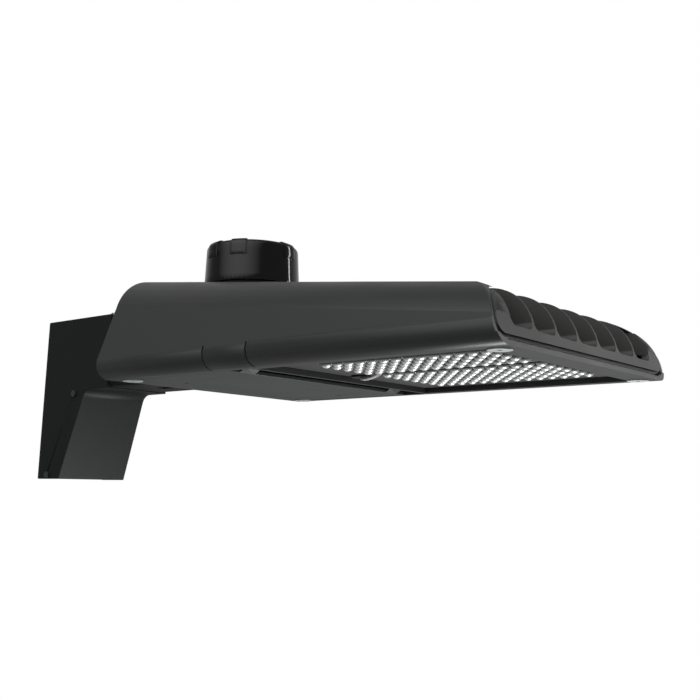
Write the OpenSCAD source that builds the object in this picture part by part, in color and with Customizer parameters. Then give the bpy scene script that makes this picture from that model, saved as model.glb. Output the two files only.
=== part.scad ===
// Shoebox area light on a short wall arm: cast housing with a hinged rear door, finned heat sink
// with two lens plates, wedge-shaped wall box and a twist-lock photocell on top.
// X = 0 is the wall, +X points to the nose, Y runs across, Z = 0 is the flat underside.

/* [Housing] */
// Distance from the wall to the back of the housing
back_x = 215; // [200:1:260]
// Length of the housing from its back to the nose
housing_len = 400; // [380:1:460]
// Half width of the flat underside
flat_half_w = 128; // [126:1:150]
// Radius of the lower edge roll
low_roll_r = 13; // [10:0.5:16]
// Radius of the upper edge roll
top_roll_r = 42; // [30:1:42]
// Lean of the housing sides from upright, in degrees
side_lean = 21; // [15:1:25]
// Height of the top at the back
back_h = 95; // [90:1:110]
// Fall of the top towards the nose, in degrees
top_fall = 7; // [5:0.1:8]
// Lean of the nose from upright, in degrees
nose_lean = 14.5; // [10:0.5:16]
// Radius of the nose in side view
nose_r = 38; // [34:0.5:42]
// Thickness of the cast skin
skin = 3.5; // [3:0.1:4.5]
// Distance from the housing back to the middle of the hinge band
band_dist = 154.5; // [150:0.5:165]
// Width of the side relief slots
slot_w = 1.6; // [1:0.1:3]
// Distance of each side relief slot from the middle of the band
slot_dist = 23.5; // [20:0.5:30]
// Height of the side relief slots
slot_h = 19; // [14:0.5:24]

/* [Rear door] */
// Thickness of the door plate
door_t = 3; // [2.5:0.1:4]
// Gap round the door
door_gap = 0.5; // [0.4:0.1:1]
// Radius of the hinge pins
pin_r = 2; // [1.5:0.1:2.5]
// Height of the hinge axis above the underside
hinge_z = 8; // [7.5:0.1:9]
// Distance of the hinge lugs from the middle of the door
hinge_y = 100; // [80:1:101]
// Width of each hinge lug
lug_w = 18; // [12:1:20]

/* [Heat sink and optics] */
// Height of the channel floor
floor_z = 15; // [14.5:0.5:20]
// Thickness of the cooling fins
fin_t = 2.4; // [2:0.1:4]
// Spacing of the cooling fins
fin_pitch = 34; // [32:0.5:36]
// Depth of the recess in front of the optic frame
optic_z = 5; // [4.6:0.1:5.4]
// Spacing of the lens columns
lens_pitch_x = 11.2; // [11:0.1:11.4]
// Spacing of the lens rows
lens_pitch_y = 13.75; // [13:0.25:14]
// Radius of each lens dome
lens_r = 5.2; // [4:0.1:5.4]

/* [Wall box and neck] */
// Height of the wall box above the origin
box_top = 83; // [80:1:90]
// Depth of the wall box below the origin
box_low = 85; // [80:1:95]
// Half width of the wall box at the height of the origin
box_half_w = 40.5; // [39:0.5:46]
// Depth of the wall box at its lower end
box_foot = 35.5; // [32:0.5:44]
// Distance from the wall to the front of the box sleeve
sleeve_len = 103; // [100:1:120]
// Wall thickness of the wall box and neck
box_wall = 3.5; // [3:0.1:4.5]
// Spacing of the wall bolts across
bolt_span_y = 50; // [40:1:52]
// Spacing of the wall bolts up and down
bolt_span_z = 120; // [100:1:124]
// Radius of the wall bolt holes
bolt_hole_r = 3.6; // [3:0.1:5]
// Radius of the wire hole through the wall plate
wire_hole_r = 11.1; // [8:0.1:14]

/* [Photocell] */
// Distance of the photocell axis from the housing back
cell_dist = 49.5; // [48:0.5:60]
// Radius of the photocell cap at its rim
cell_r = 45.25; // [43:0.25:48]
// Height of the photocell cap
cell_h = 39.5; // [36:0.5:58]

/* [Hidden] */
$fn = 64;
// Depth by which a roll stands proud of the flats that it joins
crease = 0.02;
big = 400;
// How far a cut runs past the face that it opens
over = 1;
// Radial gaps: a screw in its thread, a screw in a plain hole, a pin in its lug
thread_gap = 0.05;
hole_gap = 0.3;
pin_gap = 0.06;
// Gap between a seal and its faces, and between parts that only lie against each other
seal_gap = 0.05;
rest_gap = 0.3;
// Length by which the sloping top is drawn past the housing at each end
spare = 60;

// Housing outline
nose_x = back_x + housing_len;
side_dist = flat_half_w * cos(side_lean) + low_roll_r * (1 + sin(side_lean));
roll_low_z = back_h - top_roll_r / cos(top_fall);
roll_low_y = (side_dist - top_roll_r - roll_low_z * sin(side_lean)) / cos(side_lean);
yaw = atan(tan(side_lean) * tan(top_fall));
pitch = atan(tan(top_fall) * cos(yaw));
twist = atan(tan(yaw) * sin(pitch));
local_lean = asin(sin(side_lean) * cos(top_fall));
nose_crease = 0.1;
// The fins lie below the top of the skin, and the front edge of the skin is rounder and lies behind them
fin_drop = 2.3;
skin_setback = 1;
skin_nose_r = nose_r + 10;

// Hinge band, bay and optic window; the bay grows with a driver deeper than the usual one
driver_size = [74, 140, 37.7];
driver_usual = 74;
band_x = back_x + band_dist + driver_size[0] - driver_usual;
door_front = band_x - 12;
rail_x = band_x + 12.5;
rail_t = 3.5;
pin_x = band_x - 5.5;
lug_r = pin_r + 2.4;
lug_gap = 2;
pin_reach = 7;
bar_z = 4.5;
bar_top = 17;
window_back = rail_x + rail_t;
window_front = nose_x - 23;
window_half = flat_half_w - 10;
band_half = window_half + 4;
door_half = flat_half_w - 6.5;
seal_t = 2;
seal_w = 4.5;
ledge_z = door_t + seal_t;
ledge_top = ledge_z + 3.5;
mouth_back = back_x + 12;
mouth_front = door_front - 12;
mouth_half = flat_half_w - 28;
bulkhead_x = band_x + 4;
rim_gap = 3;
rim_h = 7;
rim_t = 2.2;
rim_half = mouth_half - 8;
door_weeps = [[back_x + 40.5, -72.4], [back_x + 82, 94.6]];
door_weep_size = [6, 3];

// Round screw pads at the four corners of the underside
pad_r = 8.75;
pad_t = 1;
pad_y = flat_half_w - 13.7;
pad_back_x = back_x + 17.5;
pad_front_x = nose_x - 14.5;
shank_r = 3;
hex_r = 1.9;
boss_r = 7;
boss_h = 10;
front_post_r = 5;

// Heat sink
sink_gap = 0.6;
sink_inset = skin + sink_gap;
sink_low = 7.8;
sink_corner = 8;
sink_back = window_back + 3.2;
top_open_half = flat_half_w - 28;
channel_back = sink_back + 12;
channel_r = 6;
fins = 6;
cheek_half = fin_pitch * (fins + 1) / 2 - 2.5;
lip_z = 3.5;
groove_depth = 4.5;
groove_wall = 3;
// Weep pocket in the far cheek: distances behind the nose, height above the channel floor, radius, depth
pocket_x = [13.5, 20.5];
pocket_rise = 4;
pocket_r = 2.2;
pocket_depth = 8;

// Optics
frame_t = 1.5;
frame_edge = 3;
lens_t = 1.9;
board_t = 1.6;
pad_sheet_t = 0.3;
lens_z = optic_z + frame_t;
board_z = lens_z + lens_t;
base_z = board_z + board_t + pad_sheet_t;
rows_near = 5;
rows_far = 7;
rows_all = rows_near + rows_far + 1;
// As many lens columns as the window holds
lens_back = window_back + 40.4;
lens_cols = floor((window_front - 20 - lens_back) / lens_pitch_x) + 1;
lens_front = lens_back + (lens_cols - 1) * lens_pitch_x;
row_first = -(rows_all - 1) / 2 * lens_pitch_y;
// Margins beyond the outer lens centres: frame window, lens plate and board, seat in the heat sink
window_edge = lens_r + 1.2;
plate_edge_x = 10;
plate_edge_y = 6.6;
seat_edge = 12;
dome_rise = 0.2;
chip = 3;
chip_t = 0.7;
chip_gap = 0.4;
board_screw_r = 1.25;
board_head_r = 2.6;
board_head_t = 1.6;
board_screw_at = [for (i = [0.5, lens_cols - 1.5],
    j = [0.5, rows_near - 1.5, rows_near + 1.5, rows_all - 1.5]) [lens_x(i), row_y(j)]];

// Leads from the driver over the hinge bar to the light boards
lead_r = 0.8;
lead_y = 1.2;
lead_z = bar_top + 3.4;
passage_z = base_z + 0.4;
passage_r = 2.3;
port_x = lens_back - 28;
port_r = 4.5;
port_head_r = 9;
port_head_t = 1.8;
port_top = base_z - 2.8;
lead_end = [lens_back + 5, row_y(rows_near) - 4];
lead_hole_r = 2.4;

// Wall box and neck
draft = 0.034;
stub_z = 6.7;
fold = [68.4, 4];
fold_r = 12;
foot_lean = atan((fold[0] - box_foot) / (fold[1] + box_low));
gasket_t = 1.5;
gasket_w = 4.7;
neck_half = box_half(box_top) - 0.5;
neck_low = stub_z + 1.2;
neck_high = box_top - 2;
neck_r = 5;
spigot_half = box_half(box_top) - box_wall - 0.8;
spigot_low = stub_z + box_wall + 0.6;
spigot_high = box_top - box_wall - 0.5;
spigot_r = 4;
spigot_x = sleeve_len - 37;
neck_seal_t = 2;
neck_end = back_x - neck_seal_t;
neck_pad = 20;
neck_weep = [[sleeve_len + 33, sleeve_len + 49], [-4, 8]];
wire_z = 30;
entry_z = 46;
supply_r = 1.4;
supply_pitch = 4.5;
entry_r = 12;
plate_t = 3;
flange_t = 2.5;
flange_top = 10;
box_screw_at = [[52, 3.2], [16.4, -box_low + 4.3]];
box_screw_r = 2;
box_head_r = 3.4;
box_head_t = 1.4;
rear_bolt_y = 21;
rear_bolt_z = [28, 64];
rear_bolt_r = 4;
neck_bolt_at = [sleeve_len - 17, 16];
neck_bolt_r = 3;
washer_t = 1.2;

// Photocell and receptacle
cell_x = back_x + cell_dist;
seat_z = back_h - 0.5;
seat_r = 41;
core_r = 25.5;
turn_r = 31;
ring_z = seat_z + 1.5;
ring_t = 3;
ring_lip = 1.2;
ring_screw_at = 36;
ring_screw_r = 1.5;
face_z = ring_z + ring_t + 0.2;
rim_z = face_z + 2.3;
cap_t = 2.2;
cap_taper = 1.75;
cap_edge = 5;
cap_low = rim_z - 4;
cap_top = cap_low + cell_h;
cap_room_r = cell_r - cap_taper - cap_edge;
grip_rise = 1;
grip_drop = 15.5;
grip_half = 10;
grip_at = [5, -64, -104, 185, 116, 76];
blade_r = 12;
blade_t = 1.5;
blade_half = 14;
blade_turn = 30;
base_t = 3.2;
cell_board_z = rim_z + 8;
cell_board_t = 1.6;
cell_board_r = cap_room_r - 4.5;
cell_post_r = 2.5;
sensor_r = 4;
sensor_h = 6.4;
relay_size = [18, 16, 14.4];

// Driver tray and what hangs on it
tray_t = 1.5;
tray_z = top_z(mouth_front) - skin - 13.5;
hang_z = tray_z - tray_t - rest_gap;
tray_back = mouth_back + 4;
tray_front = mouth_front - 4;
tray_half = mouth_half - 3;
tray_post_x = [tray_back + 5, tray_front - 4];
tray_post_y = [-tray_half + 5, tray_half - 5];
post_r = 4;
post_reach = 8;
tray_screw_r = 1.5;
tray_head_r = 3;
tray_head_t = 2;
ear_t = 2;
driver_at = [tray_front - 2.5 - driver_size[0], -driver_size[1] / 2];
driver_ear = [34, 7];
block_size = [22, 44, 17.7];
block_at = [tray_back, -block_size[1] / 2];
surge_size = [27, 50, 31.7];
surge_ear = [12, 8];
surge_at = [driver_at[0] - 3 - surge_size[0], block_at[1] + block_size[1] + 4 + surge_ear[1]];
terminal_pitch = 13;
ground_at = [tray_back + 18, -60];
driver_screw_at = [for (y = [-driver_ear[1] / 2, driver_size[1] + driver_ear[1] / 2])
    [driver_at[0] + driver_size[0] / 2, driver_at[1] + y]];
surge_screw_at = [for (y = [-surge_ear[1] / 2, surge_size[1] + surge_ear[1] / 2])
    [surge_at[0] + surge_size[0] / 2, surge_at[1] + y]];
cell_lead_x = cell_x - 4;
cell_lead_hole_r = 6;

function top_z(x) = back_h - (x - back_x) * tan(top_fall);
function lens_x(i) = lens_back + i * lens_pitch_x;
function row_y(j) = row_first + j * lens_pitch_y;
function box_half(z) = box_half_w - draft * z;

module along_x(x0, x1) {
    translate([x0, 0, 0]) rotate([90, 0, 90]) linear_extrude(x1 - x0) children();
}
module along_y(y0, y1) {
    translate([0, y1, 0]) rotate([90, 0, 0]) linear_extrude(y1 - y0) children();
}
module block(x, y, z) {
    translate([x[0], y[0], z[0]]) cube([x[1] - x[0], y[1] - y[0], z[1] - z[0]]);
}
module rod_x(x0, x1, y, z, r) {
    translate([x0, y, z]) rotate([0, 90, 0]) cylinder(h = x1 - x0, r = r);
}
module rod_y(x, y0, y1, z, r) {
    translate([x, y0, z]) rotate([-90, 0, 0]) cylinder(h = y1 - y0, r = r);
}
module rod_z(x, y, z0, z1, r) {
    translate([x, y, z0]) cylinder(h = z1 - z0, r = r);
}
module both_sides() {
    children();
    mirror([0, 1, 0]) children();
}
// Smooth curve through the listed points
function curve_at(a, b, c, d, t) = 0.5 * (2 * b + t * (c - a) + t * t * (2 * a - 5 * b + 4 * c - d)
    + t * t * t * (3 * b - 3 * c + d - a));
function curve(p, steps) = [for (i = [0 : len(p) - 2], k = [0 : steps - 1])
    curve_at(p[max(i - 1, 0)], p[i], p[i + 1], p[min(i + 2, len(p) - 1)], k / steps), p[len(p) - 1]];
function unit(v) = v / norm(v);
// A wire that follows the points, up being a direction that it never takes
module wire(points, r, up, steps = 4, sides = 8) {
    p = curve(points, steps);
    last = len(p) - 1;
    rings = [for (i = [0 : last])
        let (d = unit(p[min(i + 1, last)] - p[max(i - 1, 0)]), u = unit(cross(up, d)), v = cross(d, u))
        for (k = [0 : sides - 1]) p[i] + r * (cos(360 * k / sides) * u + sin(360 * k / sides) * v)];
    faces = concat(
        [[for (k = [sides - 1 : -1 : 0]) k]],
        [for (i = [0 : last - 1], k = [0 : sides - 1])
            let (a = i * sides + k, b = i * sides + (k + 1) % sides) [a, b, b + sides, a + sides]],
        [[for (k = [0 : sides - 1]) last * sides + k]]);
    polyhedron(rings, [for (f = faces) [for (k = [len(f) - 1 : -1 : 0]) f[k]]]);
}

// ---- Housing solids ----

// Cuts the corner round between two directions seen from the centre of the round
module round_corner(centre, r, a0, a1) {
    far = r / cos((a1 - a0) / 2) + 4;
    difference() {
        translate(centre) polygon([[0, 0], (r + 3) * [cos(a0), sin(a0)],
            far * [cos((a0 + a1) / 2), sin((a0 + a1) / 2)], (r + 3) * [cos(a1), sin(a1)]]);
        translate(centre) circle(r + crease);
    }
}
// Section with leaning sides and rolled lower edges
module low_section(inset, low, r) {
    cy = (side_dist - inset - r - (low + r) * sin(side_lean)) / cos(side_lean);
    t = [cy + r * cos(side_lean), low + r + r * sin(side_lean)];
    k = t + (t[1] - low) / cos(side_lean) * [sin(side_lean), -cos(side_lean)];
    u = t + (back_h + low_roll_r) * [-sin(side_lean), cos(side_lean)];
    difference() {
        polygon([[-k[0], low], k, u, [-u[0], u[1]]]);
        for (m = [0, 1]) mirror([m, 0]) round_corner([cy, low + r], r, -90, side_lean);
    }
}
// One side of the sloping top with its edge roll
module top_half(inset) {
    r = top_roll_r - inset;
    t = r * [cos(local_lean), sin(local_lean)];
    k = t + (r - t[1]) / cos(local_lean) * [-sin(local_lean), cos(local_lean)];
    u = t + (back_h + 2 * top_roll_r) * [sin(local_lean), -cos(local_lean)];
    translate([back_x, roll_low_y, roll_low_z])
        rotate([twist, pitch, yaw]) along_x(-spare, housing_len + spare) difference() {
            polygon([[-big, r], k, u, [-big, u[1]]]);
            round_corner([0, 0], r, local_lean, 90);
        }
}
// Side outline: the sloping top, lowered by drop, and the leaning nose with a round of radius r between them
module nose_profile(inset, r = nose_r, drop = -nose_crease) {
    ahead = [cos(nose_lean), sin(nose_lean)];
    above = [sin(top_fall), cos(top_fall)];
    d1 = nose_x * cos(nose_lean) - r;
    d2 = back_x * sin(top_fall) + (back_h - drop) * cos(top_fall) - r;
    centre = [d1 * cos(top_fall) - d2 * sin(nose_lean), d2 * cos(nose_lean) - d1 * sin(top_fall)]
        / cos(nose_lean + top_fall);
    q = r - inset;
    tip = centre + q * (ahead + above) / (1 + ahead * above);
    back = back_x - spare;
    difference() {
        polygon([[back, -spare], [tip[0] + (tip[1] + spare) * tan(nose_lean), -spare], tip,
            [back, tip[1] + (tip[0] - back) * tan(top_fall)]]);
        round_corner(centre, q, nose_lean, 90 - top_fall);
    }
}
// The housing's form within the side outline that follows
module housing_solid(inset, low, r, x0, x1) {
    intersection() {
        along_x(x0, x1) low_section(inset, low, r);
        top_half(inset);
        mirror([0, 1, 0]) top_half(inset);
        along_y(-big, big) children();
    }
}

module housing_shell() {
    color("#3a3d38") difference() {
        union() {
            difference() {
                housing_solid(0, 0, low_roll_r, back_x, nose_x + 1) nose_profile(0);
                // Driver bay
                housing_solid(skin, ledge_top, low_roll_r - skin, back_x + skin, bulkhead_x) nose_profile(0);
                // Heat sink space, open at the nose and, between the edge rolls, at the top
                housing_solid(skin, optic_z, sink_corner, bulkhead_x + skin, nose_x + 5) nose_profile(-5);
                block([sink_back - sink_gap, nose_x + 5], [-top_open_half, top_open_half], [optic_z, big]);
                // Front edge of the skin above the front lip
                difference() {
                    block([nose_x - 2 * skin_nose_r, nose_x + 5], [-big, big], [sink_low, big]);
                    translate([-skin_setback, 0, skin_setback * tan(top_fall)])
                        along_y(-big, big) nose_profile(0, skin_nose_r);
                }
            }
            // Hinge bar
            block([door_front, window_back], [-window_half, window_half], [bar_z, bar_top]);
            // Posts that carry the driver tray
            for (x = tray_post_x, y = tray_post_y) rod_z(x, y, tray_z, top_z(x) - skin + 0.3, post_r);
            // Level seat for the receptacle
            rod_z(cell_x, 0, top_z(cell_x) - skin - 3, seat_z, seat_r);
            // Bosses for the door screws and posts for the front screws
            both_sides() rod_z(pad_back_x, pad_y, ledge_z, ledge_z + boss_h, boss_r);
            both_sides() rod_z(pad_front_x, pad_y, 1, sink_low - 0.1, front_post_r);
        }
        // Door recess and bay mouth
        block([back_x - over, door_front + door_gap], [-door_half - door_gap, door_half + door_gap],
            [-over, ledge_z]);
        block([mouth_back, mouth_front], [-mouth_half, mouth_half], [0, ledge_top + over]);
        // Hinge band recess with a pocket for each lug
        block([door_front, rail_x], [-band_half, band_half], [-over, bar_z]);
        both_sides() {
            block([door_front - over, rail_x - over],
                [hinge_y - lug_w / 2 - lug_gap, hinge_y + lug_w / 2 + lug_gap], [0, hinge_z + lug_r + 1.1]);
            rod_y(pin_x, 0, hinge_y + lug_w / 2 + pin_reach + 1, hinge_z, pin_r + 0.02);
        }
        // Optic window
        block([window_back, window_front], [-window_half, window_half], [-over, optic_z + over]);
        // Groove above the front lip
        block([nose_x - groove_depth, nose_x + 5], [-flat_half_w + 1, flat_half_w - 1],
            [lip_z, sink_low + 4]);
        // Screw holes
        both_sides() {
            rod_z(pad_back_x, pad_y, 0, ledge_z + boss_h - 2, shank_r + 1);
            rod_z(pad_front_x, pad_y, -over, sink_low + over, shank_r + hole_gap);
        }
        for (x = tray_post_x, y = tray_post_y)
            rod_z(x, y, tray_z - over, tray_z + post_reach + over, tray_screw_r + thread_gap);
        // Receptacle bore and its screw holes
        rod_z(cell_x, 0, tray_z, seat_z + over, core_r + 1);
        ring_screws(seat_z - 8, seat_z + over, ring_screw_r + thread_gap);
        // Rear wall: wire hole and neck bolts
        rod_x(back_x - over, back_x + skin + over, 0, entry_z, entry_r);
        for (y = [-rear_bolt_y, rear_bolt_y], z = rear_bolt_z)
            rod_x(back_x - over, back_x + skin + over, y, z, rear_bolt_r + hole_gap);
        // Way of the leads over the hinge bar
        rod_x(bulkhead_x - over, bulkhead_x + skin + over, 0, lead_z, lead_y + lead_r + over);
        // Side relief slots
        for (s = [-1, 1]) both_sides()
            block([band_x + s * slot_dist - slot_w / 2, band_x + s * slot_dist + slot_w / 2],
                [flat_half_w - 0.6, flat_half_w + 30], [-over, slot_h]);
    }
}

module fin_profile() {
    nose_profile(0, nose_r - fin_drop, fin_drop);
}
// Outline of one open channel between two fins
module channel(y, w) {
    along_x(channel_back, nose_x + 5) translate([y, floor_z]) {
        translate([-w / 2, channel_r]) square([w, back_h]);
        translate([-w / 2 + channel_r, 0]) square([w - 2 * channel_r, channel_r + 1]);
        for (s = [-1, 1]) translate([s * (w / 2 - channel_r), channel_r]) circle(channel_r);
    }
}
module heat_sink() {
    outer_w = cheek_half - fin_pitch * (fins - 1) / 2 - fin_t / 2;
    color("#4a4c4a") difference() {
        union() {
            housing_solid(sink_inset, sink_low, sink_corner, sink_back, nose_x + 1) fin_profile();
            intersection() {
                housing_solid(0, sink_low, sink_corner, sink_back, nose_x + 1) fin_profile();
                block([0, big * 2], [sink_gap - top_open_half, top_open_half - sink_gap], [0, big]);
            }
            // Wall behind the groove
            housing_solid(sink_inset, optic_z + rest_gap, sink_corner,
                nose_x - groove_depth - groove_wall, nose_x - groove_depth) fin_profile();
        }
        // Open channels between the fins
        for (i = [0 : fins - 2]) channel((i - (fins - 2) / 2) * fin_pitch, fin_pitch - fin_t);
        for (s = [-1, 1]) channel(s * (cheek_half - outer_w / 2), outer_w);
        // Seat of the light boards
        block([lens_back - seat_edge, lens_front + seat_edge],
            [row_y(0) - seat_edge, row_y(rows_all - 1) + seat_edge], [0, base_z]);
        // Pocket for the lead port and the passage that leads to it
        rod_z(port_x, 0, 0, passage_z + passage_r / 2, port_r + hole_gap);
        rod_x(sink_back - over, port_x, 0, passage_z, passage_r);
        // Screw holes
        both_sides() rod_z(pad_front_x, pad_y, 0, floor_z - 2, shank_r + thread_gap);
        board_holes(base_z + 3, board_screw_r + thread_gap);
        // Weep pocket of the last channel
        for (x = pocket_x) rod_y(nose_x - x, cheek_half - over, cheek_half + pocket_depth,
            floor_z + pocket_rise, pocket_r);
        block([nose_x - pocket_x[1], nose_x - pocket_x[0]], [cheek_half - over, cheek_half + pocket_depth],
            [floor_z + pocket_rise - pocket_r, floor_z + pocket_rise + pocket_r]);
    }
}

// ---- Optics ----

// A slab that covers the lens rows j0 to j1 with the given margins
module row_block(j0, j1, edge_x, edge_y, z) {
    block([lens_back - edge_x, lens_front + edge_x], [row_y(j0) - edge_y, row_y(j1) + edge_y], z);
}
module board_holes(top, r) {
    for (p = board_screw_at) rod_z(p[0], p[1], 0, top, r);
}
module optic_frame() {
    color("#484848") difference() {
        block([window_back + 0.4, window_front + frame_edge],
            [-window_half - frame_edge, window_half + frame_edge], [optic_z, optic_z + frame_t]);
        row_block(0, rows_near - 1, window_edge, window_edge, [0, lens_z + over]);
        row_block(rows_near + 1, rows_all - 1, window_edge, window_edge, [0, lens_z + over]);
        rod_z(port_x, 0, 0, lens_z + over, port_r + 0.1);
        rod_z(lead_end[0], lead_end[1], 0, lens_z + over, lead_hole_r);
    }
}
module optic_gasket() {
    back = sink_back + rest_gap;
    inner_back = port_x - port_r - 0.7;
    color("#2a2a2a") difference() {
        block([back, window_front + frame_edge - 0.5],
            [-window_half - frame_edge + 0.5, window_half + frame_edge - 0.5], [lens_z, sink_low]);
        block([inner_back, window_front - 4], [-window_half - 0.5, window_half + 0.5], [0, big]);
    }
}
module lens_plate(j0, j1) {
    color("#d8dcde", 0.6) difference() {
        union() {
            row_block(j0, j1, plate_edge_x, plate_edge_y, [lens_z, board_z]);
            for (i = [0 : lens_cols - 1], j = [j0 : j1])
                translate([lens_x(i), row_y(j), lens_z + dome_rise]) sphere(lens_r, $fn = 32);
        }
        // The domes stop at the board and are hollow over each chip
        block([0, 2 * big], [-big, big], [board_z, board_z + 2 * lens_r]);
        for (i = [0 : lens_cols - 1], j = [j0 : j1])
            rod_z(lens_x(i), row_y(j), board_z - chip_t - chip_gap, board_z + over,
                chip / sqrt(2) + chip_gap);
        board_holes(board_z + over, board_screw_r + hole_gap);
    }
}
module lens_near() {
    lens_plate(0, rows_near - 1);
}
module lens_far() {
    lens_plate(rows_near + 1, rows_all - 1);
}
module led_board(j0, j1) {
    color("#e8e8e4") difference() {
        row_block(j0, j1, plate_edge_x, plate_edge_y, [board_z, board_z + board_t]);
        board_holes(base_z, board_screw_r + hole_gap);
    }
}
module led_board_near() {
    led_board(0, rows_near - 1);
}
module led_board_far() {
    led_board(rows_near + 1, rows_all - 1);
}
module led_chips() {
    color("#e6d88a") for (i = [0 : lens_cols - 1], j = [0 : rows_all - 1]) if (j != rows_near)
        block([lens_x(i) - chip / 2, lens_x(i) + chip / 2], [row_y(j) - chip / 2, row_y(j) + chip / 2],
            [board_z - chip_t, board_z]);
}
module thermal_pads() {
    color("#9aa0a6") for (j = [[0, rows_near - 1], [rows_near + 1, rows_all - 1]]) difference() {
        row_block(j[0], j[1], plate_edge_x, plate_edge_y, [board_z + board_t, base_z]);
        board_holes(base_z + over, board_screw_r + hole_gap);
    }
}
module board_screws() {
    color("#b8bcc0") for (p = board_screw_at) {
        rod_z(p[0], p[1], lens_z - board_head_t, lens_z, board_head_r);
        rod_z(p[0], p[1], lens_z - 0.1, base_z + 2.6, board_screw_r);
    }
}
// A screw with a wide flat head on the underside and a hexagon socket in it
module pad_screw(x, y, tip) {
    difference() {
        union() {
            rod_z(x, y, -pad_t, 0, pad_r);
            rod_z(x, y, -pad_t, tip, shank_r);
        }
        rod_z(x, y, -pad_t - over, -0.3 * pad_t, hex_r);
    }
}
module front_screws() {
    color("#9a9fa2") both_sides() pad_screw(pad_front_x, pad_y, floor_z - 2.4);
}
module door_screw_near() {
    color("#9a9fa2") pad_screw(pad_back_x, -pad_y, ledge_z + boss_h - 3);
}
module door_screw_far() {
    color("#9a9fa2") pad_screw(pad_back_x, pad_y, ledge_z + boss_h - 3);
}
module lead_port() {
    color("#161616") difference() {
        union() {
            rod_z(port_x, 0, optic_z - port_head_t, optic_z, port_head_r);
            rod_z(port_x, 0, optic_z - 0.1, port_top, port_r);
        }
        for (y = [-lead_y, lead_y]) rod_z(port_x, y, 0, port_top + over, lead_r + 0.15);
    }
}
module led_leads() {
    start_x = driver_at[0] + driver_size[0] + rest_gap;
    gap_x = (window_back + sink_back) / 2;
    color("#d8d8d4") for (s = [-1, 1]) {
        y = s * lead_y;
        // The two leads reach the edges of the two light boards
        board_y = row_y(rows_near + s) - s * (plate_edge_y + 0.1);
        wire([
            [start_x, y, hang_z - 24],
            [start_x + 6, y, hang_z - 25],
            [bulkhead_x - 8, y, lead_z + 1],
            [bulkhead_x + 2, y, lead_z],
            [gap_x - 4, y, lead_z],
            [gap_x - 0.6, y, lead_z - 1.6],
            [gap_x, y, bar_top - 1.5],
            [gap_x + 0.4, y, passage_z + 1.4],
            [gap_x + 2.4, y, passage_z],
            [port_x - 4, y, passage_z],
            [port_x - 0.9, y, passage_z - 0.8],
            [port_x, y, port_top],
            [port_x, y, optic_z],
            [port_x, y, optic_z - port_head_t - 0.3],
            [port_x + 1.5, y - 0.5, optic_z - 3.4],
            [port_x + 9, -4 + s * 1.6, optic_z - 3.8],
            [port_x + 22, -11 + s * 1.3, optic_z - 3.2],
            [lead_end[0] - 2.4 + s * 0.8, lead_end[1] + 1.4 + s * 0.8, optic_z - 2.2],
            [lead_end[0] + s * 0.6, lead_end[1] + s, optic_z - 0.4],
            [lead_end[0] + s * 0.6, lead_end[1] + s, lens_z + 0.6],
            [lead_end[0] + s * 0.6, board_y - s * 1.4, board_z + 0.6],
            [lead_end[0] + s * 0.6, board_y, board_z + 0.8]], lead_r, [0.31, 0.9, 0.3], 3);
    }
}

// ---- Rear door ----
module rear_door() {
    half_lug = lug_w / 2;
    color("#3a3d38") difference() {
        union() {
            block([back_x + 0.2, door_front], [-door_half, door_half], [0, door_t]);
            // Stiffening rim inside the seal
            difference() {
                block([mouth_back + rim_gap, mouth_front - rim_gap], [-rim_half, rim_half],
                    [door_t - 0.1, door_t + rim_h]);
                block([mouth_back + rim_gap + rim_t, mouth_front - rim_gap - rim_t],
                    [-rim_half + rim_t, rim_half - rim_t], [door_t, door_t + rim_h + over]);
            }
            // Hinge lugs
            both_sides() along_y(hinge_y - half_lug, hinge_y + half_lug) {
                polygon([[door_front - 6, 0], [door_front, 0], [pin_x, hinge_z - lug_r + 0.3],
                    [pin_x - 2.6, hinge_z + 3], [door_front - 0.6, door_t], [door_front - 6, door_t]]);
                translate([pin_x, hinge_z]) circle(lug_r);
            }
        }
        both_sides() {
            rod_y(pin_x, 0, hinge_y + half_lug + over, hinge_z, pin_r + pin_gap);
            rod_z(pad_back_x, pad_y, -over, door_t + over, shank_r + 0.08);
        }
        // Weep slots
        for (p = door_weeps) block([p[0] - door_weep_size[0] / 2, p[0] + door_weep_size[0] / 2],
            [p[1] - door_weep_size[1] / 2, p[1] + door_weep_size[1] / 2], [-over, door_t + over]);
    }
}
module door_gasket() {
    out = 1 + seal_w;
    color("#1c1c1c") difference() {
        block([mouth_back - out, mouth_front + out], [-mouth_half - out, mouth_half + out],
            [door_t + seal_gap, ledge_z - seal_gap]);
        block([mouth_back - 1, mouth_front + 1], [-mouth_half - 1, mouth_half + 1], [0, ledge_z + over]);
    }
}
module hinge_pins() {
    reach = lug_w / 2 + pin_reach;
    color("#b0b4b8") both_sides() rod_y(pin_x, hinge_y - reach, hinge_y + reach, hinge_z, pin_r);
}

// ---- Wall box and neck ----

// Section between two heights, wider at the foot
module box_section(inset, low, high) {
    polygon([[-box_half(low) + inset, low], [box_half(low) - inset, low],
        [box_half(high) - inset, high], [-box_half(high) + inset, high]]);
}
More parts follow.
